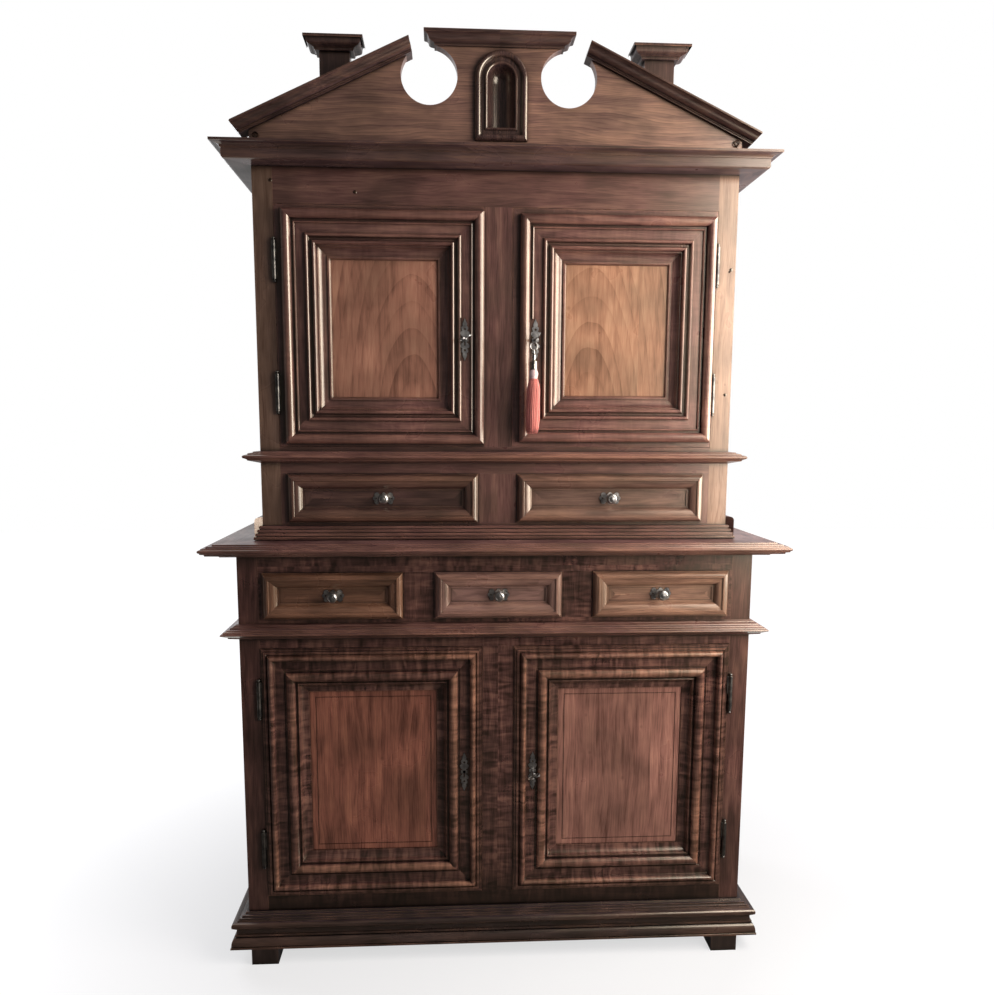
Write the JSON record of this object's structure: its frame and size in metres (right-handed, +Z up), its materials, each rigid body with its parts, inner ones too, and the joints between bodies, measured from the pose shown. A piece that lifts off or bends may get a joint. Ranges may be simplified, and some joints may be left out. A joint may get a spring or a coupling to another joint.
{
  "type": "two-part buffet",
  "caption": "Walnut two-part buffet: moulded doors over drawers above and below, set-back upper part, broken pediment with an arched niche",
  "frame": {"origin": "middle of the width and of the greatest depth, on the floor", "axes": "+X to the right seen from the front, +Y to the back, +Z up; the doors face -Y"},
  "size_m": [1.4656, 0.6198, 2.3352],
  "materials": {
    "walnut": "waxed, glossy",
    "walnut_light": "waxed, glossy",
    "walnut_dark": "dark waxed",
    "raw_wood": "planed, unfinished",
    "iron": "forged, brushed by use",
    "silk": "silk strands"
  },
  "bodies": {
    "carcass": {"feet": "walnut_dark", "base_moulding": "walnut_dark", "lower_posts": "walnut", "lower_front_frame": "walnut", "side_rails": "walnut", "side_panels": "walnut", "back_boards": "raw_wood", "boards": "raw_wood", "runners": "raw_wood", "mid_moulding": "walnut", "waist_top": "walnut", "upper_posts": "walnut_light", "upper_front_frame": "walnut", "upper_socle": "walnut", "belt_moulding": "walnut", "cornice": "walnut", "tympanum": "walnut_light", "pediment_mouldings": "walnut", "niche": "walnut", "side_plinths": "walnut", "hinge_pins": "iron"},
    "upper_left_door": {"upper_left_door_frame": "walnut_light", "upper_left_door_panel": "walnut_light", "upper_left_door_hinges": "iron", "upper_left_door_lock": "iron"},
    "upper_left_bolt": {"upper_left_bolt": "iron"},
    "upper_left_key": {"upper_left_key": "iron"},
    "upper_right_door": {"upper_right_door_frame": "walnut_light", "upper_right_door_panel": "walnut_light", "upper_right_door_hinges": "iron", "upper_right_door_lock": "iron"},
    "upper_right_bolt": {"upper_right_bolt": "iron"},
    "upper_right_key": {"upper_right_key": "iron"},
    "lower_left_door": {"lower_left_door_frame": "walnut", "lower_left_door_panel": "walnut", "lower_left_door_hinges": "iron", "lower_left_door_lock": "iron"},
    "lower_left_bolt": {"lower_left_bolt": "iron"},
    "lower_right_door": {"lower_right_door_frame": "walnut", "lower_right_door_panel": "walnut", "lower_right_door_hinges": "iron", "lower_right_door_lock": "iron"},
    "lower_right_bolt": {"lower_right_bolt": "iron"},
    "lower_right_key": {"lower_right_key": "iron"},
    "key_tassel": {"key_tassel": "silk"},
    "upper_left_drawer": {"upper_left_drawer_front": "walnut", "upper_left_drawer_box": "raw_wood", "upper_left_drawer_pull": "iron"},
    "upper_right_drawer": {"upper_right_drawer_front": "walnut", "upper_right_drawer_box": "raw_wood", "upper_right_drawer_pull": "iron"},
    "lower_left_drawer": {"lower_left_drawer_front": "walnut", "lower_left_drawer_box": "raw_wood", "lower_left_drawer_pull": "iron"},
    "lower_middle_drawer": {"lower_middle_drawer_front": "walnut", "lower_middle_drawer_box": "raw_wood", "lower_middle_drawer_pull": "iron"},
    "lower_right_drawer": {"lower_right_drawer_front": "walnut", "lower_right_drawer_box": "raw_wood", "lower_right_drawer_pull": "iron"}
  },
  "joints": [
    {"name": "upper_left_door_hinge", "type": "hinge", "parent": "carcass", "child": "upper_left_door", "pos_m": [-0.552, -0.1895, 1.6435], "axis": [0, 0, -1], "range_deg": [0, 105]},
    {"name": "upper_left_bolt_slide", "type": "slide", "parent": "upper_left_door", "child": "upper_left_bolt", "axis": [1, 0, 0], "range_m": [0, 0.012]},
    {"name": "upper_left_key_turn", "type": "hinge", "parent": "upper_left_door", "child": "upper_left_key", "pos_m": [-0.0845, -0.183, 1.617], "axis": [0, 1, 0], "range_deg": [0, 130]},
    {"name": "upper_right_door_hinge", "type": "hinge", "parent": "carcass", "child": "upper_right_door", "pos_m": [0.552, -0.1895, 1.6435], "axis": [0, 0, 1], "range_deg": [0, 105]},
    {"name": "upper_right_bolt_slide", "type": "slide", "parent": "upper_right_door", "child": "upper_right_bolt", "axis": [-1, 0, 0], "range_m": [0, 0.012]},
    {"name": "upper_right_key_turn", "type": "hinge", "parent": "upper_right_door", "child": "upper_right_key", "pos_m": [0.0935, -0.183, 1.617], "axis": [0, -1, 0], "range_deg": [0, 130]},
    {"name": "lower_left_door_hinge", "type": "hinge", "parent": "carcass", "child": "lower_left_door", "pos_m": [-0.612, -0.2415, 0.5035], "axis": [0, 0, -1], "range_deg": [0, 105]},
    {"name": "lower_left_bolt_slide", "type": "slide", "parent": "lower_left_door", "child": "lower_left_bolt", "axis": [1, 0, 0], "range_m": [0, 0.012]},
    {"name": "lower_right_door_hinge", "type": "hinge", "parent": "carcass", "child": "lower_right_door", "pos_m": [0.612, -0.2415, 0.5035], "axis": [0, 0, 1], "range_deg": [0, 105]},
    {"name": "lower_right_bolt_slide", "type": "slide", "parent": "lower_right_door", "child": "lower_right_bolt", "axis": [-1, 0, 0], "range_m": [0, 0.012]},
    {"name": "lower_right_key_turn", "type": "hinge", "parent": "lower_right_door", "child": "lower_right_key", "pos_m": [0.092, -0.235, 0.5025], "axis": [0, -1, 0], "range_deg": [0, 130]},
    {"name": "tassel_swing", "type": "hinge", "parent": "upper_right_key", "child": "key_tassel", "pos_m": [0.08575, -0.228, 1.60358], "axis": [0, 1, 0], "range_deg": [0, 130]},
    {"name": "upper_left_drawer_slide", "type": "slide", "parent": "carcass", "child": "upper_left_drawer", "axis": [0, -1, 0], "range_m": [0, 0.28]},
    {"name": "upper_right_drawer_slide", "type": "slide", "parent": "carcass", "child": "upper_right_drawer", "axis": [0, -1, 0], "range_m": [0, 0.28]},
    {"name": "lower_left_drawer_slide", "type": "slide", "parent": "carcass", "child": "lower_left_drawer", "axis": [0, -1, 0], "range_m": [0, 0.3]},
    {"name": "lower_middle_drawer_slide", "type": "slide", "parent": "carcass", "child": "lower_middle_drawer", "axis": [0, -1, 0], "range_m": [0, 0.3]},
    {"name": "lower_right_drawer_slide", "type": "slide", "parent": "carcass", "child": "lower_right_drawer", "axis": [0, -1, 0], "range_m": [0, 0.3]}
  ],
  "couplings": [
    {"joint": "upper_left_key_turn", "follows": "upper_left_bolt_slide", "rad_per_m": 189},
    {"joint": "upper_right_key_turn", "follows": "upper_right_bolt_slide", "rad_per_m": 189},
    {"joint": "lower_right_key_turn", "follows": "lower_right_bolt_slide", "rad_per_m": 189},
    {"joint": "tassel_swing", "follows": "upper_right_bolt_slide", "rad_per_m": 189}
  ]
}
